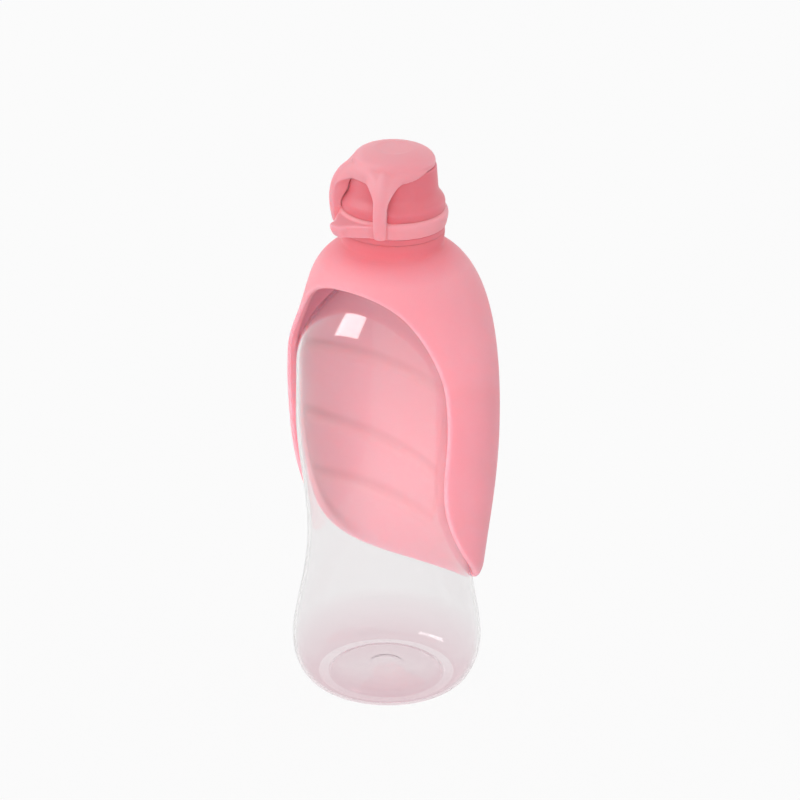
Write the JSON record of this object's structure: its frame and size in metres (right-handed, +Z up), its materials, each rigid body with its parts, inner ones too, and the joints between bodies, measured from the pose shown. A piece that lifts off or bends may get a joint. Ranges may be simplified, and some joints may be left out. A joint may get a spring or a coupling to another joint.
{
  "type": "dog travel water bottle",
  "caption": "Clear squeeze water bottle for dogs with a soft leaf that flips up into a drinking bowl, and a screw cap whose spout has a lid on two straps.",
  "frame": {"origin": "on the table, under the middle of the bottle's base, on the bottle's axis", "axes": "+Z up along the bottle's axis; +Y towards the back, where the leaf's tip hangs; the leaf's opening faces -Y"},
  "size_m": [0.0848, 0.0796, 0.2218],
  "materials": {
    "bottle_clear": "gloss",
    "leaf_silicone": "matte",
    "cover_silicone": "matte",
    "cap_plastic": "satin",
    "seal_silicone": "satin"
  },
  "bodies": {
    "bottle": {"bottle": "bottle_clear"},
    "leaf": {"leaf_collar": "leaf_silicone", "leaf_bowl": "leaf_silicone"},
    "leaf_tip": {"leaf_tip": "leaf_silicone"},
    "seal": {"neck_seal": "seal_silicone"},
    "cap": {"cap_body": "cap_plastic", "spout_valve": "seal_silicone", "valve_retainer": "cap_plastic", "cover_ring": "cover_silicone", "left_strap": "cover_silicone", "right_strap": "cover_silicone"},
    "lid": {"cover_lid": "cover_silicone", "lid_plug": "cover_silicone"}
  },
  "joints": [
    {"name": "leaf_turn", "type": "hinge", "parent": "bottle", "child": "leaf", "pos_m": [0, 0, 0.18], "axis": [0, 0, 1], "continuous": true},
    {"name": "leaf_flip", "type": "slide", "parent": "leaf", "child": "leaf_tip", "axis": [0, 0.061, 0.9981], "range_m": [0, 0.31], "deforming": ["leaf_bowl"]},
    {"name": "cap_rise", "type": "slide", "parent": "bottle", "child": "seal", "axis": [0, 0, 1], "range_m": [0, 0.00541]},
    {"name": "cap_turn", "type": "hinge", "parent": "seal", "child": "cap", "pos_m": [0, 0, 0.195], "axis": [0, 0, 1], "range_deg": [0, 540]},
    {"name": "lid_flip", "type": "hinge", "parent": "cap", "child": "lid", "pos_m": [-0.00405, -0.01907, 0.209], "axis": [0.9781, -0.2079, 0], "range_deg": [0, 140], "deforming": ["left_strap", "right_strap"]}
  ],
  "couplings": [
    {"joint": "cap_rise", "follows": "cap_turn", "m_per_rad": 0.00057296}
  ]
}
